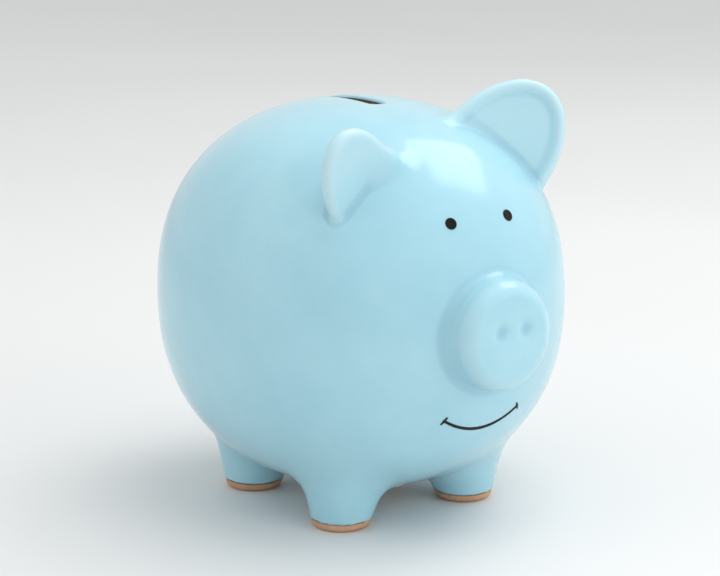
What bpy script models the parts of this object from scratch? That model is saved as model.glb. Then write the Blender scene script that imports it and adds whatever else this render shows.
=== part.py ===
"""A slip-cast ceramic piggy bank: a hollow shell, its ears, snout, legs and tail, and a soft stopper.

Metres, +Z up. The pig faces -Y and its left side is +X. The origin is on the floor, under the middle of
the bounding box. The soles stand on z = 0.
"""

import math

import bmesh
import bpy
from mathutils import Matrix, Vector

# ---- driving dimensions --------------------------------------------------------------------------
BODY_LENGTH = 0.137
BODY_WIDTH = 0.1284
BODY_HEIGHT = 0.124
BELLY_CLEARANCE = 0.007
WALL = 0.004
GAP = 0.0003  # between neighbouring pieces

SNOUT_REACH = 0.0085  # how far the snout's face stands ahead of the body
TAIL_REACH = 0.0100  # how far the tail stands behind the body

SLOT_LENGTH = 0.035
SLOT_SETBACK = 0.0065  # the slot's middle is this far behind the body's
SLOT_WIDTH = 0.0052
PLUG_HOLE_RADIUS = 0.0164

# ---- the body: an egg whose upright sections are superellipses -----------------------------------
HALF_X = BODY_WIDTH / 2
HALF_Y = BODY_LENGTH / 2
HALF_Z = BODY_HEIGHT / 2
CENTRE_Z = BELLY_CLEARANCE + HALF_Z
CENTRE = Vector((0, (SNOUT_REACH - TAIL_REACH) / 2, CENTRE_Z))
UPPER_FULLNESS = 2.26  # 2 would be an ellipse; more is squarer
LOWER_FULLNESS = 2.32

SKIN_CUTS = 17
CAVITY_CUTS = 11
TRIM_CUTS = 17

# ---- the pieces on it, measured from the body's centre -------------------------------------------
SEAT_RADIUS = 0.0222  # flat round seat for the stopper's flange
SEAT_Z = 0.0086

LEG_FRONT_X = 0.0250
LEG_REAR_X = 0.0239
LEG_FRONT_Y = -0.0233
LEG_REAR_Y = 0.0273
LEG_SPLAY = 0.10  # sideways lean of a leg, as a slope
LEG_BASE_RADIUS = 0.0090
LEG_TAPER = 0.29  # growth of the radius with height
LEG_TOP_Z = 0.034
LEG_EDGE_ROUND = 0.0022
LEG_CORE_RADIUS = 0.0058
LEG_FLOOR = 0.0045
SOLE_THICKNESS = 0.0024
SOLE_RADIUS = 0.0084

SNOUT_DROP = 0.0012
SNOUT_RADIUS = 0.0168
SNOUT_FLARE = 0.0012
SNOUT_ROUND = 0.0042
SNOUT_DOME = 0.0010
NOSTRIL_X = 0.0048
NOSTRIL_RISE = 0.0020
NOSTRIL_RADIUS = 0.0034
NOSTRIL_DEPTH = 0.0012

# Each ear as if it were a left one, from the body's middle: where its rim line meets the head near
# the crown, where it meets the cheek, its tip, and its cup. The right one is set a little lower.
EARS = {
    1: (Vector((0.0112, -0.0269, 0.0546)), Vector((0.0386, -0.0425, 0.0338)),
        Vector((0.0450, -0.0401, 0.0649)), 0.0024),
    -1: (Vector((0.0185, -0.0393, 0.0502)), Vector((0.0410, -0.0415, 0.0335)),
         Vector((0.0446, -0.0481, 0.0594)), 0.0012),
}
EAR_HALF_THICK = 0.0045
EAR_THINNING = 0.080  # loss of half thickness along the ear

EYE_X = 0.0110
EYE_Z = 0.0322
EYE_RADIUS = 0.0018
EYE_HALF_THICK = 0.00045

SMILE_HALF_WIDTH = 0.0144
SMILE_END_Z = -0.0278
SMILE_SAG = 0.0046
SMILE_RADIUS = 0.00060
SMILE_TICK = 0.0013

TAIL_Z = 0.006
TAIL_CURL_RADIUS = 0.0058
TAIL_TURNS = 1.2
TAIL_ROOT_RADIUS = 0.0034
TAIL_END_RADIUS = 0.0019

FLANGE_RADIUS = 0.0196
FLANGE_THICKNESS = 0.0020
PLUG_TOP_Z = 0.0205
PLUG_CORE_RADIUS = 0.0124
RIB_RADIUS = 0.01605
RIB_ROOT_RADIUS = 0.0149
RIB_COUNT = 3
TAB_HALF_WIDTH = 0.0045
TAB_REACH = 0.0055
TAB_THICKNESS = 0.0013

FINISHES = {
    "glaze": ((0.40, 0.66, 0.80), 0.12),
    "clay": ((0.60, 0.36, 0.23), 0.90),
    "enamel": ((0.010, 0.010, 0.012), 0.15),
    "rubber": ((0.72, 0.72, 0.70), 0.55),
}


# ---- helpers -------------------------------------------------------------------------------------
def clear_scene():
    for obj in list(bpy.data.objects):
        bpy.data.objects.remove(obj)


def new_collection(name, hidden=False):
    made = bpy.data.collections.new(name)
    bpy.context.scene.collection.children.link(made)
    made.hide_render = hidden
    return made


def new_material(name, finish):
    colour, roughness = FINISHES[finish]
    material = bpy.data.materials.new(f"{name}_{finish}")
    material.use_nodes = True
    shader = material.node_tree.nodes["Principled BSDF"]
    shader.inputs["Base Color"].default_value = (*colour, 1)
    shader.inputs["Roughness"].default_value = roughness
    shader.inputs["Metallic"].default_value = 0
    return material


def add_object(name, data, collection, finish=None):
    obj = bpy.data.objects.new(name, data)
    collection.objects.link(obj)
    if finish:
        data.materials.append(new_material(name, finish))
    return obj


def mesh_from(name, bm):
    mesh = bpy.data.meshes.new(name)
    bm.to_mesh(mesh)
    bm.free()
    mesh.shade_smooth()
    mesh.set_sharp_from_angle(angle=math.radians(40))
    return mesh


def frozen(obj):
    """The object with its modifiers, or its curve's bevel, turned into a plain welded mesh."""
    bpy.context.view_layer.update()
    evaluated = obj.evaluated_get(bpy.context.evaluated_depsgraph_get())
    mesh = bpy.data.meshes.new_from_object(evaluated)
    bm = bmesh.new()
    bm.from_mesh(mesh)
    bmesh.ops.remove_doubles(bm, verts=bm.verts, dist=1e-6)
    bm.to_mesh(mesh)
    bm.free()
    name, collection = obj.name, obj.users_collection[0]
    matrix = obj.matrix_world.copy()
    bpy.data.objects.remove(obj)
    mesh.name = name
    made = bpy.data.objects.new(name, mesh)
    collection.objects.link(made)
    made.matrix_world = matrix
    return made


def as_cutter(obj):
    obj.hide_render = True
    obj.display_type = "WIRE"
    return obj


def boolean(obj, other, operation="DIFFERENCE"):
    modifier = obj.modifiers.new(f"{operation.lower()}_{other.name}", "BOOLEAN")
    modifier.operation = operation
    modifier.object = other
    modifier.solver = "EXACT"


def arc(centre, radius, start, end, steps):
    """Points of an arc in the profile plane, from start to end degrees."""
    angles = [math.radians(start + (end - start) * i / steps) for i in range(steps + 1)]
    return [(centre[0] + radius * math.cos(a), centre[1] + radius * math.sin(a)) for a in angles]


def turned(name, profile, collection, finish=None, steps=28):
    """A solid of revolution about Z. The profile is (radius, height) points, down its outer side."""
    bm = bmesh.new()
    verts = [bm.verts.new((radius, 0, height)) for radius, height in profile]
    for first, second in zip(verts, verts[1:]):
        bm.edges.new((first, second))
    mesh = bpy.data.meshes.new(name)
    bm.to_mesh(mesh)
    bm.free()
    obj = add_object(name, mesh, collection, finish)
    screw = obj.modifiers.new("turn", "SCREW")
    screw.steps = steps
    screw.render_steps = steps
    screw.use_merge_vertices = True
    screw.merge_threshold = 1e-6
    screw.use_smooth_shade = True
    return frozen(obj)


# ---- the body's surface --------------------------------------------------------------------------
def fullness(height):
    return UPPER_FULLNESS if height > 0 else LOWER_FULLNESS


def body_surface_point(direction, grow=0.0):
    """Where the unit direction lands on the body, whose half axes are made longer by grow."""
    flat = math.hypot(direction.x, direction.y)
    power = 2 / fullness(direction.z)
    height = math.copysign(abs(direction.z) ** power, direction.z) * (HALF_Z + grow)
    share = (flat**power) / flat if flat > 1e-9 else 0.0
    return CENTRE + Vector(
        (direction.x * share * (HALF_X + grow), direction.y * share * (HALF_Y + grow), height)
    )


def face_point(x, z, grow=0.0):
    """The point on the front of the body at that x and height above the centre."""
    level = 1 - abs(z / (HALF_Z + grow)) ** fullness(z)
    radius = level ** (1 / fullness(z))
    across = x / (HALF_X + grow)
    y = -(HALF_Y + grow) * math.sqrt(radius**2 - across**2)
    return CENTRE + Vector((x, y, z))


def face_normal(x, z):
    step = 1e-4
    across = face_point(x + step, z) - face_point(x - step, z)
    upward = face_point(x, z + step) - face_point(x, z - step)
    return across.cross(upward).normalized()


def round_cube(cuts):
    """A cube cut into a grid and blown up into a unit sphere."""
    bm = bmesh.new()
    bmesh.ops.create_cube(bm, size=2)
    bmesh.ops.subdivide_edges(bm, edges=bm.edges[:], cuts=cuts, use_grid_fill=True)
    for vert in bm.verts:
        even = Vector([math.tan(c * math.pi / 4) for c in vert.co])
        vert.co = even.normalized()
    return bm


def body_solid(name, cuts, grow, collection, finish=None):
    bm = round_cube(cuts)
    for vert in bm.verts:
        vert.co = body_surface_point(vert.co, grow)
    return add_object(name, mesh_from(name, bm), collection, finish)


# ---- cutters -------------------------------------------------------------------------------------
def slot_cutter(collection):
    """A round-ended bar, upright through the crown."""
    bm = bmesh.new()
    bmesh.ops.create_cube(bm, size=1)
    bmesh.ops.scale(bm, vec=(SLOT_WIDTH, SLOT_LENGTH, 0.03), verts=bm.verts)
    upright = [e for e in bm.edges if abs(e.verts[0].co.z - e.verts[1].co.z) > 0.01]
    bmesh.ops.bevel(
        bm, geom=upright, offset=SLOT_WIDTH * 0.49, segments=6, profile=0.5, affect="EDGES"
    )
    obj = add_object("slot_cutter", mesh_from("slot_cutter", bm), collection)
    obj.location = CENTRE + Vector((0, SLOT_SETBACK, HALF_Z))
    return as_cutter(obj)


def cylinder_cutter(name, radius, low, high, centre, collection, steps=40):
    bm = bmesh.new()
    bmesh.ops.create_cone(
        bm, cap_ends=True, segments=steps, radius1=radius, radius2=radius, depth=high - low
    )
    obj = add_object(name, mesh_from(name, bm), collection)
    obj.location = (centre.x, centre.y, (low + high) / 2)
    return as_cutter(obj)


# ---- the shell -----------------------------------------------------------------------------------
def leg_places():
    """Each leg's name and the middle of its sole."""
    for end, x, y in (("front", LEG_FRONT_X, LEG_FRONT_Y), ("rear", LEG_REAR_X, LEG_REAR_Y)):
        for side, sign in (("left", 1), ("right", -1)):
            yield f"{end}_{side}", Vector((sign * x, CENTRE.y + y, 0)), sign


def leg_axis_x(place, sign, height):
    """A leg leans inwards as it rises, so that the feet stand wider than its root."""
    return place.x - sign * LEG_SPLAY * height


def make_shell(collection, cutters):
    shell = body_solid("body_shell", SKIN_CUTS, 0.0, collection, "glaze")
    cavity = as_cutter(body_solid("cavity_cutter", CAVITY_CUTS, -WALL, cutters))
    boolean(shell, cavity)
    boolean(shell, slot_cutter(cutters))
    boolean(
        shell,
        cylinder_cutter("plug_hole_cutter", PLUG_HOLE_RADIUS, -0.01, 0.03, CENTRE, cutters),
    )
    boolean(shell, cylinder_cutter("seat_cutter", SEAT_RADIUS, -0.01, SEAT_Z, CENTRE, cutters))
    for name, place, sign in leg_places():
        where = Vector((leg_axis_x(place, sign, 0.014), place.y, 0))
        boolean(
            shell,
            cylinder_cutter(f"{name}_vent", LEG_CORE_RADIUS, 0.004, 0.030, where, cutters, 20),
        )
    return shell


# ---- legs and soles ------------------------------------------------------------------------------
def lean(obj, sign):
    """Shears the piece sideways about the floor, which keeps its level faces level."""
    shear = Matrix.Identity(4)
    shear[0][2] = -sign * LEG_SPLAY
    obj.data.transform(shear)


def make_leg(name, place, sign, trim, collection, cutters):
    low = SOLE_THICKNESS + GAP
    top_radius = LEG_BASE_RADIUS + LEG_TAPER * (LEG_TOP_Z - low)
    edge = (LEG_BASE_RADIUS - LEG_EDGE_ROUND, low + LEG_EDGE_ROUND)
    profile = [(0, LEG_TOP_Z), (top_radius, LEG_TOP_Z)]
    profile += [*arc(edge, LEG_EDGE_ROUND, 0, -90, 4), (0, low)]
    leg = turned(f"{name}_leg", profile, collection, "glaze")
    core_low = low + LEG_FLOOR
    core = turned(
        f"{name}_core",
        [(0, 0.05), (LEG_CORE_RADIUS, 0.05), (LEG_CORE_RADIUS * 0.8, core_low), (0, core_low)],
        cutters,
        steps=20,
    )
    lean(leg, sign)
    lean(core, sign)
    leg.location = place
    core.location = place
    boolean(leg, as_cutter(core))
    boolean(leg, trim)


def make_sole(name, place, sign, collection):
    rounded = 0.0007
    edge_top = (SOLE_RADIUS - rounded, SOLE_THICKNESS - rounded)
    edge_low = (SOLE_RADIUS - rounded, rounded)
    profile = [(0, SOLE_THICKNESS), *arc(edge_top, rounded, 90, 0, 2)]
    profile += [*arc(edge_low, rounded, 0, -90, 3), (0, 0)]
    sole = turned(f"{name}_sole", profile, collection, "clay")
    lean(sole, sign)
    sole.location = place


# ---- snout ---------------------------------------------------------------------------------------
def make_snout(trim, collection, cutters):
    """Turned about its own axis, then laid forwards. Its height axis is the way out of the face."""
    face = HALF_Y + SNOUT_REACH
    back = HALF_Y * 0.75
    shoulder = (SNOUT_RADIUS - SNOUT_ROUND, face - SNOUT_DOME - SNOUT_ROUND)
    profile = [
        (0, face),
        (SNOUT_RADIUS * 0.4, face - SNOUT_DOME * 0.3),
        *arc(shoulder, SNOUT_ROUND, 84, 0, 6),
        (SNOUT_RADIUS + SNOUT_FLARE, HALF_Y * 0.93),
        (SNOUT_RADIUS + SNOUT_FLARE, back),
        (0, back),
    ]
    snout = turned("snout", profile, collection, "glaze", steps=40)
    snout.rotation_euler = (math.radians(90), 0, 0)
    snout.location = CENTRE + Vector((0, 0, -SNOUT_DROP))
    for side, sign in (("left", 1), ("right", -1)):
        bm = bmesh.new()
        bmesh.ops.create_uvsphere(bm, u_segments=16, v_segments=10, radius=NOSTRIL_RADIUS)
        nostril = add_object(f"{side}_nostril_cutter", mesh_from("nostril", bm), cutters)
        out = face + NOSTRIL_RADIUS - NOSTRIL_DEPTH
        nostril.location = snout.location + Vector((sign * NOSTRIL_X, -out, NOSTRIL_RISE))
        boolean(snout, as_cutter(nostril))
    boolean(snout, trim)


# ---- ears ----------------------------------------------------------------------------------------
def ear_axes(sign):
    """Root, length axis, width axis and forward axis of an ear as a left one, and its length and half width."""
    inner, outer, tip, _ = EARS[sign]
    root = (inner + outer) / 2
    reach = tip - root
    along = reach.normalized()
    across = outer - inner
    across = across - along * across.dot(along)
    half_width = across.length / 2
    across.normalize()
    return root, along, across, across.cross(along), reach.length, half_width


def ear_point(unit, sign):
    """A unit sphere's point on the ear: a flat egg, thinner to its tip and pressed hollow from the front."""
    root, along, across, forward, length, half_width = ear_axes(sign)
    u = unit.x * length
    v = unit.y * half_width
    inside = max(0.0, 1 - unit.x**2 - unit.y**2)
    thick = EAR_HALF_THICK - EAR_THINNING * max(0.0, u)
    w = thick * unit.z - EARS[sign][3] * inside
    point = root + along * u + across * v + forward * w
    return CENTRE + Vector((sign * point.x, point.y, point.z))


def make_ear(side, sign, trim, collection):
    bm = round_cube(11)
    for vert in bm.verts:
        vert.co = ear_point(vert.co, sign)
    bmesh.ops.recalc_face_normals(bm, faces=bm.faces)
    ear = add_object(f"{side}_ear", mesh_from(f"{side}_ear", bm), collection, "glaze")
    boolean(ear, trim)


# ---- tail ----------------------------------------------------------------------------------------
def make_tail(trim, collection):
    """One loose curl, out of the rump and round to the side."""
    steps = 30
    curve = bpy.data.curves.new("tail", "CURVE")
    curve.dimensions = "3D"
    curve.bevel_depth = 1.0
    curve.bevel_resolution = 2
    curve.use_fill_caps = True
    spline = curve.splines.new("POLY")
    spline.points.add(steps)
    start = HALF_Y - 0.004
    end = HALF_Y + TAIL_REACH - TAIL_END_RADIUS
    for i, point in enumerate(spline.points):
        t = i / steps
        angle = math.tau * TAIL_TURNS * t
        opening = min(1.0, t * 4)
        x = TAIL_CURL_RADIUS * opening * math.sin(angle)
        z = TAIL_Z + TAIL_CURL_RADIUS * opening * (1 - math.cos(angle))
        y = start + (end - start) * t
        point.co = (*(CENTRE + Vector((x, y, z))), 1)
        point.radius = TAIL_ROOT_RADIUS + (TAIL_END_RADIUS - TAIL_ROOT_RADIUS) * t
    obj = add_object("tail", curve, collection, "glaze")
    boolean(frozen(obj), trim)


# ---- painted face --------------------------------------------------------------------------------
def make_eye(side, sign, collection):
    bm = bmesh.new()
    bmesh.ops.create_uvsphere(bm, u_segments=16, v_segments=8, radius=1)
    bmesh.ops.scale(bm, vec=(EYE_RADIUS, EYE_RADIUS, EYE_HALF_THICK), verts=bm.verts)
    eye = add_object(f"{side}_eye", mesh_from(f"{side}_eye", bm), collection, "enamel")
    normal = face_normal(sign * EYE_X, EYE_Z)
    eye.location = face_point(sign * EYE_X, EYE_Z) + normal * (EYE_HALF_THICK + GAP)
    eye.rotation_mode = "QUATERNION"
    eye.rotation_quaternion = normal.to_track_quat("Z", "Y")


def smile_point(t, lift):
    """A point of the smile, from its right end at t = -1 to its left end at t = 1."""
    x = t * SMILE_HALF_WIDTH
    z = SMILE_END_Z - SMILE_SAG * (1 - t * t)
    return face_point(x, z) + face_normal(x, z) * lift


def stroke(name, points, collection, finish=None):
    curve = bpy.data.curves.new(name, "CURVE")
    curve.dimensions = "3D"
    curve.bevel_depth = SMILE_RADIUS
    curve.bevel_resolution = 1
    curve.use_fill_caps = True
    spline = curve.splines.new("POLY")
    spline.points.add(len(points) - 1)
    for point, co in zip(spline.points, points):
        point.co = (*co, 1)
    return frozen(add_object(name, curve, collection, finish))


def make_smile(collection, cutters):
    lift = SMILE_RADIUS + GAP + 0.00015
    count = 24
    line = [smile_point(-1 + 2 * i / count, lift) for i in range(count + 1)]
    smile = stroke("smile", line, collection, "enamel")
    for side, t in (("right", -1), ("left", 1)):
        end = smile_point(t, lift)
        slope = (smile_point(t, lift) - smile_point(t * 0.9, lift)).normalized()
        sideways = slope.cross(face_normal(t * SMILE_HALF_WIDTH, SMILE_END_Z)).normalized()
        half = sideways * SMILE_TICK
        tick = stroke(f"{side}_tick", [end - half, end + half], cutters)
        boolean(smile, as_cutter(tick), "UNION")


# ---- stopper -------------------------------------------------------------------------------------
def make_stopper(collection, cutters):
    """A soft cup with a flange under the belly, round ribs that grip the hole and a pull tab."""
    top = SEAT_Z - GAP
    low = top - FLANGE_THICKNESS
    pitch = (PLUG_TOP_Z - top - 0.002) / RIB_COUNT
    flange_edge = (FLANGE_RADIUS - FLANGE_THICKNESS / 2, (top + low) / 2)
    profile = [(PLUG_CORE_RADIUS, PLUG_TOP_Z), (RIB_ROOT_RADIUS - 0.0012, PLUG_TOP_Z)]
    for i in reversed(range(RIB_COUNT)):
        root = top + 0.001 + pitch * i
        profile += [
            (RIB_ROOT_RADIUS, root + pitch * 0.85),
            (RIB_RADIUS, root + pitch * 0.45),
            (RIB_ROOT_RADIUS, root + pitch * 0.15),
        ]
    profile += [(RIB_ROOT_RADIUS, top), *arc(flange_edge, FLANGE_THICKNESS / 2, 90, -90, 6)]
    profile += [(0, low), (0, top + 0.0012), (PLUG_CORE_RADIUS, top + 0.0012), profile[0]]
    stopper = turned("stopper", profile, collection, "rubber", steps=40)
    bm = bmesh.new()
    bmesh.ops.create_cube(bm, size=1)
    length = FLANGE_RADIUS * 0.3 + TAB_REACH
    bmesh.ops.scale(bm, vec=(TAB_HALF_WIDTH * 2, length, TAB_THICKNESS), verts=bm.verts)
    far = [
        e
        for e in bm.edges
        if min(v.co.y for v in e.verts) > 0 and abs(e.verts[0].co.z - e.verts[1].co.z) > 1e-4
    ]
    bmesh.ops.bevel(
        bm, geom=far, offset=TAB_HALF_WIDTH * 0.95, segments=6, profile=0.5, affect="EDGES"
    )
    tab = add_object("tab_shape", mesh_from("tab_shape", bm), cutters)
    tab.location = (0, CENTRE.y + FLANGE_RADIUS + TAB_REACH - length / 2, low + TAB_THICKNESS / 2)
    stopper.location = (0, CENTRE.y, 0)
    boolean(stopper, as_cutter(tab), "UNION")


def main():
    clear_scene()
    pieces = new_collection("piggy_bank")
    cutters = new_collection("cutters", hidden=True)
    trim = as_cutter(body_solid("trim_cutter", TRIM_CUTS, GAP, cutters))
    make_shell(pieces, cutters)
    make_snout(trim, pieces, cutters)
    for side, sign in (("left", 1), ("right", -1)):
        make_ear(side, sign, trim, pieces)
        make_eye(side, sign, pieces)
    for name, place, sign in leg_places():
        make_leg(name, place, sign, trim, pieces, cutters)
        make_sole(name, place, sign, pieces)
    make_tail(trim, pieces)
    make_smile(pieces, cutters)
    make_stopper(pieces, cutters)


main()
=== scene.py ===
"""The piggy bank's looks: one continuous glazed skin over the ceramic nodes, bare clay feet, an enamel
face and a soft stopper. Shapes are distance fields in millimetres, meshed and then pulled exactly onto
their surfaces."""

import math

import bpy
import numpy as np
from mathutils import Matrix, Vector


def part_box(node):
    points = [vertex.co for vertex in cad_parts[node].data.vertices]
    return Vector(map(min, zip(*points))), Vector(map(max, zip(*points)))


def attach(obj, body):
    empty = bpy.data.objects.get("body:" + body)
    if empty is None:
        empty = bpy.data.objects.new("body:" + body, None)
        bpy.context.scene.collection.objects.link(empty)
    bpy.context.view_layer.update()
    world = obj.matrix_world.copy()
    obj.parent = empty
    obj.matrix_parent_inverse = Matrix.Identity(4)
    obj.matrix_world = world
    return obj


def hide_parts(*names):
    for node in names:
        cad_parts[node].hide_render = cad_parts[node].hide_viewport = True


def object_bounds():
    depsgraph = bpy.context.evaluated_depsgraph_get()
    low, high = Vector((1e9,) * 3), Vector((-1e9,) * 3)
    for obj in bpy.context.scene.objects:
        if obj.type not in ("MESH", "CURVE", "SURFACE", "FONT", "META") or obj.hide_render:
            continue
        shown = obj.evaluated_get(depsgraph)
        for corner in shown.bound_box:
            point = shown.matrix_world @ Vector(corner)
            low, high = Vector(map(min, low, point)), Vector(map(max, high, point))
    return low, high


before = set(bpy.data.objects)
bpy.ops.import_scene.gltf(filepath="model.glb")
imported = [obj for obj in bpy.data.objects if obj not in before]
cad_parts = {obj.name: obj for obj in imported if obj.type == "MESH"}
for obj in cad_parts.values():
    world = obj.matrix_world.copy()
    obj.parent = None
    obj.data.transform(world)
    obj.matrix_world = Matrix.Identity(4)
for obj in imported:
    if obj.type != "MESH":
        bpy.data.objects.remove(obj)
CAD_LOW, CAD_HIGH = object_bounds()

MM = 0.001

# ---- dimensions, in millimetres ---------------------------------------------------------------------
BODY_LOW, BODY_HIGH = (np.array(corner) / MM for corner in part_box("body_shell"))
HALF_X = (BODY_HIGH[0] - BODY_LOW[0]) / 2
HALF_Y = (BODY_HIGH[1] - BODY_LOW[1]) / 2
HALF_Z = 62.0  # the seat for the stopper trims the underside, so the box doesn't give this
CENTRE = np.array([0.0, (BODY_HIGH[1] + BODY_LOW[1]) / 2, BODY_HIGH[2] - HALF_Z])
UPPER_FULLNESS, LOWER_FULLNESS = 2.26, 2.32
WALL = 4.0

SLOT_HALF_WIDTH, SLOT_HALF_LENGTH, SLOT_SETBACK = 2.6, 17.4, 6.5
SLOT_REACH = 20.0  # the slot's cutter starts this far above the body's middle
PLUG_HOLE_RADIUS, PLUG_HOLE_TOP = 16.4, 40.0
SEAT_RADIUS, SEAT_Z, SEAT_ROUND = 20.3, 8.6, 0.5
SLOT_LIP, SEAT_LIP, HOLE_LIP, INNER_LIP, GLAZE_LIP = 0.9, 0.8, 0.9, 0.6, 0.5  # how softly each cut is eased

LEG_SPLAY, LEG_BASE, LEG_TAPER = 0.10, 9.0, 0.29  # a lean, the radius at the floor, and a slope
LEG_CORE, LEG_CORE_LOW, LEG_CORE_HIGH = 5.8, 7.0, 26.0
LEG_BLEND = 6.5
FOOT_ROUND = 1.7
GLAZE_LINE = 2.6  # the glaze stops this far above the floor
CLAY_INSET = 0.18  # how far the bare clay lies under the glaze's surface

SNOUT_FACE = 77.0  # ahead of the body's middle
SNOUT_DROP, SNOUT_RADIUS, SNOUT_ROUND, SNOUT_DOME, SNOUT_FLARE = 1.2, 16.8, 4.6, 0.9, 1.0
SNOUT_BLEND = 2.6
NOSTRIL_X, NOSTRIL_RISE, NOSTRIL_RADIUS, NOSTRIL_DEPTH = 4.8, 2.0, 3.2, 0.75

# each ear as a left one: its inner root, outer root and tip, then its cup, the half thickness of its
# edge, how much thicker its middle is, its bead, and the fillets at its outer and inner root
EARS = {
    1: (
        (np.array([11.2, -26.9, 54.6]), np.array([38.6, -42.5, 33.8]), np.array([45.0, -40.1, 64.9])),
        (2.6, 1.7, 0.8, 0.7, 1.8, 4.5),
    ),
    -1: (
        (np.array([18.5, -39.3, 50.2]), np.array([41.0, -41.5, 33.5]), np.array([44.6, -48.1, 59.4])),
        (0.2, 2.0, 0.9, 0.0, 1.8, 9.0),
    ),
}

EYE_X, EYE_Z, EYE_RADIUS, EYE_PROUD = 11.0, 32.2, 1.85, 0.42
SMILE_HALF_WIDTH, SMILE_END_Z, SMILE_SAG, SMILE_RADIUS, SMILE_TICK = 14.4, -27.8, 4.6, 0.62, 1.4

TAIL_Z, TAIL_CURL, TAIL_TURNS, TAIL_ROOT, TAIL_END = 6.0, 5.8, 1.2, 3.4, 1.9
TAIL_REACH, TAIL_BLEND = 10.0, 2.2

FLANGE_HALF, FLANGE_ROUND = 1.0, 0.75
RIB_MIDDLE, RIB_WAVE, RIB_COUNT = 15.4, 0.55, 3
CUP_RADIUS, CUP_FLOOR, CUP_ROUND = 12.4, 1.2, 1.6
TAB_RADIUS, TAB_START, TAB_HALF = 4.5, 10.0, 0.70
GRIP_FIRST, GRIP_PITCH, GRIP_RADIUS = 20.4, 1.4, 0.32  # fine ridges across the tab's underside
GRIP_MIDDLE, GRIP_HALF_SPAN, GRIP_HALF_LENGTH = 23.0, 2.2, 2.6
RING_RADIUS, RING_HALF_WIDTH, RING_ROUND = 13.5, 0.45, 0.35

FLOOR_HALF = 3.0  # in metres

SKIN_PITCH, SKIN_DRAFT_PITCH = 1.3, 1.6
SOLE_PITCH, EYE_PITCH, SMILE_PITCH, STOPPER_PITCH = 0.45, 0.14, 0.22, 0.42


# ---- distance fields ----------------------------------------------------------------------------------
def blend(a, b, soft):
    """The union of two fields, with a fillet."""
    share = np.clip(0.5 + 0.5 * (b - a) / soft, 0, 1)
    return b + (a - b) * share - soft * share * (1 - share)


def cut(a, b, soft):
    """The first field with the second taken out of it, its edge eased."""
    return -blend(-a, b, soft)


def within(a, b, soft):
    """Two fields' overlap, its edge eased."""
    return -blend(-a, -b, soft)


def rounded(side, cap, radius):
    """Two fields' overlap, with the edge between them rounded."""
    s, c = side + radius, cap + radius
    return np.hypot(np.maximum(s, 0), np.maximum(c, 0)) + np.minimum(np.maximum(s, c), 0) - radius


def body_field(p):
    """An ellipsoid made a little squarer, more so below its middle than above."""
    x, y, z = p[:, 0], p[:, 1] - CENTRE[1], p[:, 2] - CENTRE[2]
    n = np.where(z > 0, UPPER_FULLNESS, LOWER_FULLNESS)
    r = np.sqrt((x / HALF_X) ** 2 + (y / HALF_Y) ** 2 + 1e-10)
    w = np.abs(z) / HALF_Z + 1e-7
    total = r**n + w**n
    k = total ** (1 / n - 1)
    across = k * r ** (n - 2)
    slope = np.sqrt(
        (across * x / HALF_X**2) ** 2
        + (across * y / HALF_Y**2) ** 2
        + (k * w ** (n - 1) / HALF_Z) ** 2
    )
    return (total ** (1 / n) - 1) / np.maximum(slope, 1e-4)


def ear_axes(sign):
    inner, outer, tip = EARS[sign][0]
    root = (inner + outer) / 2
    reach = tip - root
    length = np.linalg.norm(reach)
    along = reach / length
    across = outer - inner
    across = across - along * (across @ along)
    half_width = np.linalg.norm(across) / 2
    across = across / np.linalg.norm(across)
    return root, along, across, np.cross(across, along), length, half_width


def ear_field(p, sign):
    """A cupped petal with a rolled rim, and how softly each of its points joins the head."""
    root, along, across, forward, length, half_width = ear_axes(sign)
    cup, rim, belly, bead, outer_fillet, inner_fillet = EARS[sign][1]
    q = (p - CENTRE) * (sign, 1, 1) - root
    u, v, w = q @ along, q @ across, q @ forward
    ahead = np.maximum(u, 0)  # below its root line the petal runs straight on into the head
    s = np.sqrt((ahead / length) ** 2 + (v / half_width) ** 2 + 1e-8)
    grade = np.sqrt((ahead / length**2) ** 2 + (v / half_width**2) ** 2 + 1e-12) / s
    edge = (s - 1) / np.maximum(grade, 1 / (2 * length))
    near = np.minimum(s, 1.15)
    mid = -cup * (1 - near**2)
    thick = rim + belly * (1 - near**2)
    found = np.hypot(np.maximum(edge + thick, 0), w - mid) - thick
    if bead:
        free = np.clip(0.45 + u / length + 0.9 * v / half_width, 0, 1)
        found = blend(found, np.hypot(edge + 1.2, w - 0.2 - 0.9 * free) - bead * (0.5 + 0.5 * free), 3.0)
    inner = np.clip(-v / half_width, 0, 1)
    return np.maximum(found, -16 - u), outer_fillet + (inner_fillet - outer_fillet) * inner


def snout_field(p):
    """A round drum with a domed face, flaring towards the head, with two shallow nostrils."""
    x, z = p[:, 0], p[:, 2] - CENTRE[2] + SNOUT_DROP
    ahead = CENTRE[1] - p[:, 1]
    rho = np.hypot(x, z)
    base = np.clip((SNOUT_FACE - ahead) / 10, 0, 1)
    side = rho - SNOUT_RADIUS - SNOUT_FLARE * base**2
    cap = ahead - SNOUT_FACE + SNOUT_DOME * (rho / SNOUT_RADIUS) ** 2
    found = np.maximum(rounded(side, cap, SNOUT_ROUND), 40 - ahead)
    for sign in (1, -1):
        centre = (sign * NOSTRIL_X, CENTRE[1] - SNOUT_FACE - NOSTRIL_RADIUS + NOSTRIL_DEPTH)
        hole = np.sqrt(
            (x - centre[0]) ** 2 + (p[:, 1] - centre[1]) ** 2 + (z - NOSTRIL_RISE) ** 2
        )
        found = cut(found, hole - NOSTRIL_RADIUS, 1.9)
    return found


def leg_places():
    """Each leg's name, the x and y of its middle at the floor, and its side."""
    for end in ("front", "rear"):
        for side, sign in (("left", 1), ("right", -1)):
            low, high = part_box(f"{end}_{side}_sole")
            middle = (Vector(low) + Vector(high)) / 2 / MM
            yield f"{end}_{side}", middle.x + sign * LEG_SPLAY * 0.9, middle.y, sign


LEGS = list(leg_places())


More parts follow.
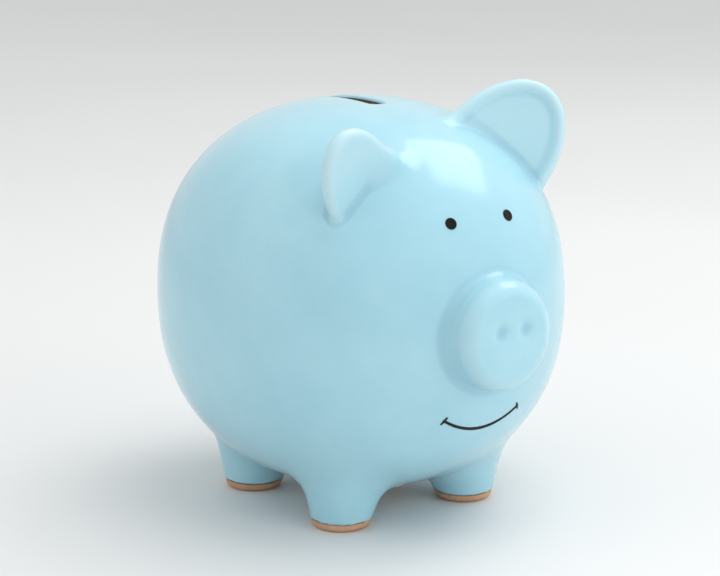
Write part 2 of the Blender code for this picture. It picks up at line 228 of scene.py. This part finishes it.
def foot_field(p, x, y, sign):
    """A cone that leans outwards, with a rounded sole."""
    z = p[:, 2]
    rho = np.hypot(p[:, 0] - x + sign * LEG_SPLAY * z, p[:, 1] - y)
    side = (rho - LEG_BASE - LEG_TAPER * z) * math.cos(math.atan(LEG_TAPER))
    return rounded(side, -z, FOOT_ROUND)


def tail_points():
    """One loose curl running backwards, thinner towards its end."""
    steps = 44
    start, end = HALF_Y - 4, HALF_Y + TAIL_REACH - TAIL_END
    for i in range(steps + 1):
        t = i / steps
        angle = math.tau * TAIL_TURNS * t
        opening = TAIL_CURL * min(1.0, t * 4)
        offset = (opening * math.sin(angle), start + (end - start) * t)
        height = TAIL_Z + opening * (1 - math.cos(angle))
        yield CENTRE + (offset[0], offset[1], height), TAIL_ROOT + (TAIL_END - TAIL_ROOT) * t


def chain_field(p, points):
    """The distance to a chain of round-ended rods, each point with its own radius."""
    found = np.full(len(p), 1e3)
    for (a, ra), (b, rb) in zip(points, points[1:]):
        ab = b - a
        t = np.clip(((p - a) @ ab) / (ab @ ab), 0, 1)
        apart = np.linalg.norm(p - a - t[:, None] * ab, axis=1)
        found = np.minimum(found, apart - ra - (rb - ra) * t)
    return found


TAIL = list(tail_points())


def outer_field(p):
    """The whole figure as if it were solid."""
    found = body_field(p)
    for sign in (1, -1):
        found = blend(found, *ear_field(p, sign))
    found = blend(found, snout_field(p), SNOUT_BLEND)
    low = p[:, 2] < 50  # the legs and the tail are worked out only near where they are
    for _, x, y, sign in LEGS:
        leg = np.maximum(foot_field(p[low], x, y, sign), p[low][:, 2] - 45)
        found[low] = blend(found[low], leg, LEG_BLEND)
    back = p[:, 1] > CENTRE[1] + HALF_Y - 12
    found[back] = blend(found[back], chain_field(p[back], TAIL), TAIL_BLEND)
    return found


def slot_field(p):
    """An upright slot with round ends."""
    x, y = np.abs(p[:, 0]), np.abs(p[:, 1] - CENTRE[1] - SLOT_SETBACK)
    beyond = np.maximum(y - SLOT_HALF_LENGTH + SLOT_HALF_WIDTH, 0)
    flat = np.hypot(x, beyond) - SLOT_HALF_WIDTH
    return np.maximum(flat, CENTRE[2] + SLOT_REACH - p[:, 2])


def hollow_field(p):
    """The space inside the body, and its cores in the legs."""
    inner = body_field(p) + WALL
    for _, x, y, sign in LEGS:
        z = p[:, 2]
        rho = np.hypot(p[:, 0] - x + sign * LEG_SPLAY * z, p[:, 1] - y)
        core = rounded(rho - LEG_CORE, LEG_CORE_LOW - z, 2.0)
        inner = blend(inner, np.maximum(core, z - LEG_CORE_HIGH), 1.5)
    return inner


def skin_field(p):
    """The figure with its hollow, slot and plug hole, down to where the glaze stops."""
    found = outer_field(p)
    rho = np.hypot(p[:, 0], p[:, 1] - CENTRE[1])
    seat = rounded(rho - SEAT_RADIUS, p[:, 2] - SEAT_Z, SEAT_ROUND)
    found = cut(found, seat, SEAT_LIP)
    found = cut(found, hollow_field(p), INNER_LIP)
    found = cut(found, slot_field(p), SLOT_LIP)
    hole = np.maximum(rho - PLUG_HOLE_RADIUS, p[:, 2] - PLUG_HOLE_TOP)
    found = cut(found, hole, HOLE_LIP)
    return within(found, GLAZE_LINE - p[:, 2], GLAZE_LIP)


def sole_field(p, x, y, sign):
    """One foot's bare clay, from the floor to just under the glaze."""
    foot = foot_field(p + (0, 0, CLAY_INSET), x, y, sign) + CLAY_INSET
    return within(foot, p[:, 2] - GLAZE_LINE + 0.02, 0.25)


# ---- meshing ------------------------------------------------------------------------------------------
COARSE = 4  # fine grid steps to a coarse one
CHUNK = 400_000  # points worked out at a time
LONGEST_PULL = 0.6


def gradient(field, p, step=0.02):
    found = np.empty_like(p)
    for axis in range(3):
        shift = np.zeros(3)
        shift[axis] = step
        found[:, axis] = (field(p + shift) - field(p - shift)) / (2 * step)
    return found


def sampled(field, low, high, pitch):
    """The field on a grid, worked out finely only near the surface."""
    counts = (np.ceil((high - low) / (COARSE * pitch)).astype(int)) * COARSE + 1
    axes = [low[i] + pitch * np.arange(counts[i]) for i in range(3)]
    coarse = np.meshgrid(*[axis[::COARSE] for axis in axes], indexing="ij")
    points = np.stack([c.ravel() for c in coarse], 1)
    grid = field(points).reshape(coarse[0].shape)
    mask = np.abs(grid) < COARSE * pitch * 2.4
    for axis in range(3):
        grid = np.repeat(grid, COARSE, axis)
        mask = np.repeat(mask, COARSE, axis)
    grid = grid[: counts[0], : counts[1], : counts[2]]
    mask = mask[: counts[0], : counts[1], : counts[2]]
    for axis in range(3):  # a coarse point speaks for the cells on both its sides
        mask = mask | np.roll(mask, 1 - COARSE, axis)
    i, j, k = np.nonzero(mask)
    fine = np.stack([axes[0][i], axes[1][j], axes[2][k]], 1)
    values = np.empty(len(fine))
    for start in range(0, len(fine), CHUNK):
        values[start : start + CHUNK] = field(fine[start : start + CHUNK])
    grid[i, j, k] = values
    return grid, axes


def surface_net(grid, axes):
    """Dual contouring without normals: a point in each crossed cell, a quad about each crossed edge."""
    inside = grid < 0
    shape = tuple(n - 1 for n in grid.shape)
    total = np.zeros(shape, int)
    for di in (0, 1):
        for dj in (0, 1):
            for dk in (0, 1):
                total += inside[di : di + shape[0], dj : dj + shape[1], dk : dk + shape[2]]
    crossed = (total > 0) & (total < 8)
    ids = np.full(shape, -1)
    ids[crossed] = np.arange(crossed.sum())
    ci, cj, ck = np.nonzero(crossed)
    place = np.zeros((len(ci), 3))
    weight = np.zeros(len(ci))
    base = (ci, cj, ck)
    for axis in range(3):
        others = [a for a in range(3) if a != axis]
        for da in (0, 1):
            for db in (0, 1):
                start = [base[0].copy(), base[1].copy(), base[2].copy()]
                start[others[0]] = start[others[0]] + da
                start[others[1]] = start[others[1]] + db
                end = [s.copy() for s in start]
                end[axis] = end[axis] + 1
                a = grid[tuple(start)]
                b = grid[tuple(end)]
                hit = (a < 0) != (b < 0)
                share = np.where(hit, a / np.where(hit, a - b, 1), 0)
                point = np.stack([axes[m][start[m]] for m in range(3)], 1)
                point[:, axis] += share * (axes[axis][1] - axes[axis][0])
                place += point * hit[:, None]
                weight += hit
    place /= weight[:, None]
    quads = []
    for axis in range(3):
        a = np.take(inside, range(grid.shape[axis] - 1), axis)
        b = np.take(inside, range(1, grid.shape[axis]), axis)
        i, j, k = np.nonzero(a != b)
        at = np.stack([i, j, k], 1)
        o1, o2 = [(1, 2), (2, 0), (0, 1)][axis]
        ok = (at[:, o1] > 0) & (at[:, o2] > 0) & (at[:, o1] < shape[o1]) & (at[:, o2] < shape[o2])
        at = at[ok]
        corner = []
        for d1, d2 in ((1, 1), (0, 1), (0, 0), (1, 0)):
            cell = at.copy()
            cell[:, o1] -= d1
            cell[:, o2] -= d2
            corner.append(ids[tuple(cell.T)])
        quad = np.stack(corner, 1)
        outward = inside[tuple(at.T)]
        quad[~outward] = quad[~outward][:, ::-1]
        quads.append(quad)
    return place, np.concatenate(quads)


def relaxed(field, points, quads, rounds):
    """Evens the quads out and pulls each point back onto the surface."""
    ends = np.concatenate([quads[:, [0, 1]], quads[:, [1, 2]], quads[:, [2, 3]], quads[:, [3, 0]]])
    number = np.bincount(ends[:, 0], minlength=len(points)) + np.bincount(
        ends[:, 1], minlength=len(points)
    )
    for turn in range(rounds + 1):
        if turn:
            mean = np.empty_like(points)
            for axis in range(3):
                mean[:, axis] = np.bincount(
                    ends[:, 0], weights=points[ends[:, 1], axis], minlength=len(points)
                ) + np.bincount(ends[:, 1], weights=points[ends[:, 0], axis], minlength=len(points))
            points = points + 0.6 * (mean / number[:, None] - points)
        for _ in range(2 if turn < rounds else 3):
            slope = gradient(field, points)
            steep = np.maximum((slope**2).sum(1), 0.05)
            pull = (field(points) / steep)[:, None] * slope
            length = np.maximum(np.linalg.norm(pull, axis=1), 1e-9)
            points = points - pull * np.minimum(1, LONGEST_PULL / length)[:, None]
    return points


def meshed(name, field, low, high, pitch, rounds=2):
    """A mesh object of the field, in metres, its normals taken from the field itself, and its points."""
    grid, axes = sampled(field, np.array(low, float), np.array(high, float), pitch)
    points, quads = surface_net(grid, axes)
    points = relaxed(field, points, quads, rounds)
    mesh = bpy.data.meshes.new(name)
    mesh.vertices.add(len(points))
    mesh.vertices.foreach_set("co", (points * MM).ravel())
    mesh.loops.add(len(quads) * 4)
    mesh.loops.foreach_set("vertex_index", quads.ravel().astype(np.int32))
    mesh.polygons.add(len(quads))
    mesh.polygons.foreach_set("loop_start", np.arange(0, len(quads) * 4, 4, dtype=np.int32))
    mesh.update(calc_edges=True)
    mesh.validate()
    mesh.shade_smooth()
    normals = gradient(field, points)
    normals /= np.maximum(np.linalg.norm(normals, axis=1), 1e-9)[:, None]
    mesh.normals_split_custom_set_from_vertices(normals)
    obj = bpy.data.objects.new(name, mesh)
    bpy.context.scene.collection.objects.link(obj)
    return obj, points


def bend_of(field, points, reach):
    """How far the surface curves: positive on a rim, negative in a fold, in 1/mm."""
    total = -6 * field(points)
    for axis in range(3):
        for side in (reach, -reach):
            shift = np.zeros(3)
            shift[axis] = side
            total = total + field(points + shift)
    return total / reach**2


def add_attribute(obj, name, values):
    layer = obj.data.attributes.new(name, "FLOAT", "POINT")
    layer.data.foreach_set("value", values.astype(np.float32))


# ---- materials ----------------------------------------------------------------------------------------
class Shader:
    """A material's nodes, made by short calls."""

    def __init__(self, name):
        self.material = bpy.data.materials.new(name)
        self.material.use_nodes = True
        self.tree = self.material.node_tree
        self.main = self.tree.nodes["Principled BSDF"]
        self.place = self.node("ShaderNodeTexCoord").outputs["Object"]

    def node(self, kind, **settings):
        made = self.tree.nodes.new(kind)
        for key, value in settings.items():
            setattr(made, key, value)
        return made

    def link(self, source, target):
        self.tree.links.new(source, target)

    def set(self, **values):
        for key, value in values.items():
            self.main.inputs[key.replace("_", " ")].default_value = value

    def noise(self, scale, detail=3.0, roughness=0.5, distortion=0.0):
        made = self.node("ShaderNodeTexNoise")
        made.inputs["Scale"].default_value = scale
        made.inputs["Detail"].default_value = detail
        made.inputs["Roughness"].default_value = roughness
        made.inputs["Distortion"].default_value = distortion
        self.link(self.place, made.inputs["Vector"])
        return made.outputs["Fac"]

    def cells(self, scale):
        made = self.node("ShaderNodeTexVoronoi")
        made.inputs["Scale"].default_value = scale
        self.link(self.place, made.inputs["Vector"])
        return made

    def attribute(self, name):
        return self.node("ShaderNodeAttribute", attribute_name=name).outputs["Fac"]

    def ramp(self, source, low, high, to_low=0.0, to_high=1.0):
        made = self.node("ShaderNodeMapRange", clamp=True)
        self.link(source, made.inputs["Value"])
        made.inputs["From Min"].default_value = low
        made.inputs["From Max"].default_value = high
        made.inputs["To Min"].default_value = to_low
        made.inputs["To Max"].default_value = to_high
        return made.outputs["Result"]

    def maths(self, operation, a, b):
        made = self.node("ShaderNodeMath", operation=operation)
        for socket, value in zip(made.inputs, (a, b)):
            if isinstance(value, (int, float)):
                socket.default_value = value
            else:
                self.link(value, socket)
        return made.outputs[0]

    def mix(self, share, a, b):
        made = self.node("ShaderNodeMix", data_type="RGBA")
        for index, value in ((0, share), (6, a), (7, b)):
            if isinstance(value, (int, float)):
                made.inputs[index].default_value = value
            elif isinstance(value, tuple):
                made.inputs[index].default_value = (*value, 1)
            else:
                self.link(value, made.inputs[index])
        return made.outputs[2]

    def bump(self, *heights):
        """Each height is (source, distance in metres, strength); they add up."""
        normal = None
        for source, distance, strength in heights:
            made = self.node("ShaderNodeBump")
            made.inputs["Distance"].default_value = distance
            made.inputs["Strength"].default_value = strength
            self.link(source, made.inputs["Height"])
            if normal:
                self.link(normal, made.inputs["Normal"])
            normal = made.outputs["Normal"]
        self.link(normal, self.main.inputs["Normal"])


def glaze_material():
    """Pale blue gloss glaze: paler on the ears and where it breaks over a rim, partly a painted highlight,
    and deeper where it pools in folds, partly painted shade. The slot's walls and the hollow are bare clay,
    painted much darker than the feet's clay as painted shade."""
    s = Shader("sky_glaze")
    clouds = s.noise(26, 3, 0.55)
    fine = s.noise(240, 2, 0.5)
    base = s.mix(s.ramp(clouds, 0.35, 0.65), (0.345, 0.618, 0.722), (0.390, 0.668, 0.762))
    base = s.mix(s.ramp(fine, 0.45, 0.62, 0, 0.10), base, (0.315, 0.595, 0.705))
    bend = s.attribute("bend")
    # paler over the ears: glaze thinner on the ears, plus a painted highlight where the ears catch more
    # light
    base = s.mix(s.maths("MULTIPLY", s.attribute("ear_paleness_and_highlight"), 0.26), base, (0.62, 0.83, 0.88))
    # paler on convex rims: glaze breaking over the edge, plus a painted highlight along the rim
    base = s.mix(s.ramp(bend, 0.10, 0.50, 0, 0.32), base, (0.66, 0.83, 0.88))
    # deeper in folds and creases: glaze pooling, plus painted shade where the creases fall into shadow
    base = s.mix(s.ramp(bend, -0.35, -0.05, 0.60, 0), base, (0.225, 0.470, 0.615))
    specks = s.cells(160)
    speck = s.ramp(specks.outputs["Distance"], 0.035, 0.075, 1, 0)
    rare = s.ramp(s.noise(34, 1), 0.66, 0.69)
    base = s.mix(s.maths("MULTIPLY", s.maths("MULTIPLY", speck, rare), 0.4), base, (0.20, 0.34, 0.42))
    depth = s.attribute("depth")
    bare = s.ramp(depth, 0.75, 0.95)
    # the clay in the slot and the hollow is painted far darker than the feet's clay: painted shade inside
    # the slot
    clay = s.mix(s.ramp(s.noise(260, 3, 0.6), 0.3, 0.7), (0.17, 0.10, 0.075), (0.12, 0.065, 0.045))
    base = s.mix(bare, base, clay)
    s.link(base, s.main.inputs["Base Color"])
    shine = s.ramp(s.noise(90, 2), 0.3, 0.7, 0.17, 0.24)
    s.link(s.maths("MAXIMUM", shine, s.maths("MULTIPLY", bare, 0.85)), s.main.inputs["Roughness"])
    s.link(s.ramp(depth, 0.75, 0.95, 0.30, 0), s.main.inputs["Coat Weight"])
    s.link(s.ramp(depth, 0.75, 0.95, 0.12, 0), s.main.inputs["Subsurface Weight"])
    s.set(IOR=1.56, Coat_Roughness=0.05)
    s.main.inputs["Subsurface Radius"].default_value = (0.6, 1.0, 1.2)
    s.main.inputs["Subsurface Scale"].default_value = 0.0016
    s.bump((s.noise(17, 2, 0.5), 0.0009, 0.35), (s.noise(330, 2, 0.55), 0.00004, 0.30))
    return s.material


def bisque_material():
    """Bare fired clay: fine grain, a few dark grits, no shine."""
    light, dark = (0.66, 0.40, 0.25), (0.50, 0.27, 0.16)
    s = Shader("bare_clay")
    blotch = s.ramp(s.noise(60, 4, 0.6), 0.3, 0.7)
    base = s.mix(blotch, light, dark)
    grit = s.cells(900)
    spots = s.ramp(grit.outputs["Distance"], 0.12, 0.22, 0.55, 0)
    base = s.mix(spots, base, tuple(c * 0.45 for c in dark))
    s.link(base, s.main.inputs["Base Color"])
    s.link(s.ramp(s.noise(700, 3), 0.3, 0.7, 0.72, 0.92), s.main.inputs["Roughness"])
    s.bump((s.noise(1400, 4, 0.7), 0.00010, 0.7), (s.noise(260, 2), 0.00015, 0.4))
    return s.material


def enamel_material():
    """Near-black enamel with a soft shine."""
    s = Shader("dark_enamel")
    s.link(
        s.mix(s.ramp(s.noise(500, 3), 0.3, 0.7), (0.004, 0.004, 0.005), (0.014, 0.012, 0.012)),
        s.main.inputs["Base Color"],
    )
    s.link(s.ramp(s.noise(900, 2), 0.3, 0.7, 0.26, 0.38), s.main.inputs["Roughness"])
    s.set(Specular_IOR_Level=0.2)
    s.bump((s.noise(800, 2), 0.00005, 0.4))
    return s.material


def rubber_material():
    """Off-white soft rubber, a little translucent."""
    s = Shader("stopper_rubber")
    s.link(
        s.mix(s.ramp(s.noise(120, 4, 0.6), 0.3, 0.7), (0.70, 0.69, 0.66), (0.62, 0.61, 0.58)),
        s.main.inputs["Base Color"],
    )
    s.link(s.ramp(s.noise(400, 3), 0.3, 0.7, 0.42, 0.58), s.main.inputs["Roughness"])
    s.set(Subsurface_Weight=0.15)
    s.main.inputs["Subsurface Scale"].default_value = 0.002
    s.bump((s.noise(1500, 3, 0.6), 0.00005, 0.5))
    return s.material


GLAZE = glaze_material()
SOLE_CLAY = bisque_material()
ENAMEL = enamel_material()
RUBBER = rubber_material()


# ---- pieces -------------------------------------------------------------------------------------------
def settle(piece, material, slot, body, *nodes):
    """Gives a piece its material and the body it rides on, and hides the CAD nodes it stands for. The slot
    is not used.
    """
    piece.data.materials.append(material)
    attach(piece, body)
    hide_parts(*nodes)


def make_skin():
    pitch = SKIN_PITCH
    low, high = np.array(CAD_LOW) / MM - 4, np.array(CAD_HIGH) / MM + 4
    skin, points = meshed("glazed_skin", skin_field, low, high, pitch)
    add_attribute(skin, "bend", bend_of(outer_field, points, 1.6))
    ears = np.minimum(ear_field(points, 1)[0], ear_field(points, -1)[0])
    # how near each point is to an ear, for the ears' paler glaze and painted highlight
    add_attribute(skin, "ear_paleness_and_highlight", np.clip(1 - ears / 3, 0, 1))
    add_attribute(skin, "depth", np.clip(-outer_field(points), 0, 4))
    nodes = ["body_shell", "snout", "left_ear", "right_ear", "tail"]
    nodes += [f"{name}_leg" for name, *_ in LEGS]
    settle(skin, GLAZE, "sky_glaze", "bank", *nodes)


def make_soles():
    reach = LEG_BASE + 2
    for name, x, y, sign in LEGS:
        sole, _ = meshed(
            f"{name}_clay_foot",
            lambda p: sole_field(p, x, y, sign),
            (x - reach, y - reach, -1),
            (x + reach, y + reach, GLAZE_LINE + 1),
            SOLE_PITCH,
            1,
        )
        settle(sole, SOLE_CLAY, "bare_clay", "bank", f"{name}_sole")


def face_point(x, z):
    """Where the front of the figure is at that x and height above the middle."""
    n = UPPER_FULLNESS if z > 0 else LOWER_FULLNESS
    level = (1 - abs(z / HALF_Z) ** n) ** (1 / n)
    y = -HALF_Y * math.sqrt(level**2 - (x / HALF_X) ** 2)
    return CENTRE + (x, y, z)


def make_eye(side, sign):
    """A low round bead of enamel that follows the face."""
    spot = face_point(sign * EYE_X, EYE_Z)
    normal = gradient(outer_field, spot[None])[0]
    normal /= np.linalg.norm(normal)

    def field(p):
        lift = outer_field(p)
        q = p - spot
        apart = np.linalg.norm(q - (q @ normal)[:, None] * normal, axis=1)
        bead = rounded(apart - EYE_RADIUS, lift - EYE_PROUD, 0.34)
        return np.maximum(bead, -0.05 - lift)

    reach = EYE_RADIUS + 1
    eye, _ = meshed(f"{side}_eye_dot", field, spot - reach, spot + reach, EYE_PITCH, 1)
    settle(eye, ENAMEL, "dark_enamel", "bank", f"{side}_eye")


def smile_points():
    """The smile's line, a parabola drawn on the face and thinner towards its ends."""
    steps = 28
    line = []
    for i in range(steps + 1):
        t = -1 + 2 * i / steps
        spot = face_point(t * SMILE_HALF_WIDTH, SMILE_END_Z - SMILE_SAG * (1 - t * t))
        line.append((spot, SMILE_RADIUS * (1 - 0.25 * abs(t))))
    return line


def make_smile():
    """One stroke of enamel with a short tick across each end."""
    line = smile_points()
    strokes = [line]
    for tip, before in ((line[0][0], line[2][0]), (line[-1][0], line[-3][0])):
        course = (tip - before) / np.linalg.norm(tip - before)
        normal = gradient(outer_field, tip[None])[0]
        side = np.cross(course, normal)
        side *= SMILE_TICK / np.linalg.norm(side)
        strokes.append([(tip - side, 0.34), (tip, 0.46), (tip + side, 0.34)])

    def field(p):
        lift = outer_field(p)
        found = chain_field(p, strokes[0])
        for stroke in strokes[1:]:
            found = blend(found, chain_field(p, stroke), 0.4)
        return np.maximum(within(found, lift - 0.30, 0.25), -0.05 - lift)

    spots = np.array([spot for stroke in strokes for spot, _ in stroke])
    smile, _ = meshed("smile_line", field, spots.min(0) - 2, spots.max(0) + 2, SMILE_PITCH, 1)
    settle(smile, ENAMEL, "dark_enamel", "bank", "smile")


def make_stopper():
    """A ribbed cup on a flange, with a gripped tab to pull it by and a ring marked under the flange."""
    low, high = (np.array(corner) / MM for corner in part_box("stopper"))
    flange_low, flange_high = low[2], SEAT_Z - 0.3
    flange_middle = (flange_low + flange_high) / 2
    flange_radius = (high[0] - low[0]) / 2
    top = high[2]
    plug_middle, plug_half = (top + flange_middle) / 2, (top - flange_middle) / 2
    pitch = (top - flange_high - 2) / RIB_COUNT
    tab_end = high[1] - CENTRE[1] - TAB_RADIUS

    def plug_field(rho, z):
        wave = np.cos((z - flange_high - 1 - 0.45 * pitch) / pitch * math.tau)
        ribs = RIB_MIDDLE + RIB_WAVE * wave * (z < flange_high + 1 + RIB_COUNT * pitch)
        taper = np.maximum(z - (top - 1.6), 0) * 0.5
        return rounded(rho - ribs + taper, np.abs(z - plug_middle) - plug_half, 0.5)

    def tab_field(x, y, z):
        along = np.hypot(x, y - np.clip(y, TAB_START, tab_end)) - TAB_RADIUS
        return rounded(along, np.abs(z - flange_low - 0.75) - TAB_HALF, 0.5)

    def grip_field(x, y, z):
        apart = np.abs((y - GRIP_FIRST + GRIP_PITCH / 2) % GRIP_PITCH - GRIP_PITCH / 2)
        ridge = np.hypot(apart, z - flange_low) - GRIP_RADIUS
        patch = np.maximum(np.abs(x) - GRIP_HALF_LENGTH, np.abs(y - GRIP_MIDDLE) - GRIP_HALF_SPAN)
        return np.maximum(ridge, patch)

    def field(p):
        x, y, z = p[:, 0], p[:, 1] - CENTRE[1], p[:, 2]
        rho = np.hypot(x, y)
        flange = rounded(rho - flange_radius, np.abs(z - flange_middle) - FLANGE_HALF, FLANGE_ROUND)
        found = blend(flange, plug_field(rho, z), 0.7)
        found = cut(found, rounded(rho - CUP_RADIUS, flange_high + CUP_FLOOR - z, CUP_ROUND), 0.4)
        found = blend(found, tab_field(x, y, z), 0.8)
        found = blend(found, grip_field(x, y, z), 0.2)
        mark = np.maximum(np.abs(rho - RING_RADIUS) - RING_HALF_WIDTH, 0)
        return cut(found, np.hypot(mark, z - flange_low + 0.15) - RING_ROUND, 0.25)

    stopper, _ = meshed("soft_stopper", field, low - 1.5, high + 1.5, STOPPER_PITCH, 1)
    settle(stopper, RUBBER, "stopper_rubber", "stopper", "stopper")


# ---- the studio ---------------------------------------------------------------------------------------
def make_floor():
    mesh = bpy.data.meshes.new("floor")
    corners = [(x * FLOOR_HALF, y * FLOOR_HALF, 0) for x, y in ((-1, -1), (1, -1), (1, 1), (-1, 1))]
    mesh.from_pydata(corners, [], [(0, 1, 2, 3)])
    floor = bpy.data.objects.new("floor", mesh)
    bpy.context.scene.collection.objects.link(floor)
    s = Shader("floor")
    s.link(
        s.mix(s.ramp(s.noise(3, 2), 0.3, 0.7), (0.74, 0.75, 0.75), (0.77, 0.77, 0.77)),
        s.main.inputs["Base Color"],
    )
    s.set(Roughness=0.6)
    mesh.materials.append(s.material)


def add_light(name, place, target, size, power, mirrored=True):
    data = bpy.data.lights.new(name, "AREA")
    data.shape = "RECTANGLE"
    data.size, data.size_y = size
    data.energy = power
    light = bpy.data.objects.new(name, data)
    bpy.context.scene.collection.objects.link(light)
    light.location = place
    aim = Vector(target) - Vector(place)
    light.rotation_euler = aim.to_track_quat("-Z", "Y").to_euler()
    light.visible_glossy = mirrored


def make_lights():
    """A softbox above and to the right of the view, weak broad fills, and a pale room."""
    middle = Vector(CENTRE) * MM
    add_light("key_softbox", middle + Vector((0.62, -0.06, 0.84)), middle, (0.66, 0.48), 1.9)
    add_light("top_fill", middle + Vector((0.30, -0.20, 1.00)), middle, (0.9, 0.9), 4.6, False)
    add_light("left_fill", middle + Vector((-1.05, 0.35, 0.80)), middle, (0.9, 0.9), 2.0, False)
    add_light("front_fill", middle + Vector((0.35, -1.25, 0.35)), middle, (0.9, 0.9), 4.4, False)
    world = bpy.data.worlds.new("studio")
    bpy.context.scene.world = world
    world.use_nodes = True
    world.node_tree.nodes["Background"].inputs["Color"].default_value = (0.98, 0.99, 0.99, 1)
    world.node_tree.nodes["Background"].inputs["Strength"].default_value = 0.76


def make_camera():
    """The picture's view: from the pig's right front, a little above it."""
    data = bpy.data.cameras.new("camera")
    camera = bpy.data.objects.new("camera", data)
    bpy.context.scene.collection.objects.link(camera)
    azimuth, elevation, distance = math.radians(36.7), math.radians(13.0), 0.726
    back = Vector(
        (
            -math.sin(azimuth) * math.cos(elevation),
            -math.cos(azimuth) * math.cos(elevation),
            math.sin(elevation),
        )
    )
    target = Vector(CENTRE) * MM
    camera.location = target + back * distance
    camera.rotation_euler = back.to_track_quat("Z", "Y").to_euler()
    data.sensor_width = 36
    data.lens = 112
    data.clip_start, data.clip_end = 0.01, 20
    bpy.context.scene.camera = camera


make_skin()
make_soles()
for side, sign in (("left", 1), ("right", -1)):
    make_eye(side, sign)
make_smile()
make_stopper()
make_floor()
make_lights()
make_camera()
bpy.context.scene.view_settings.view_transform = "Standard"
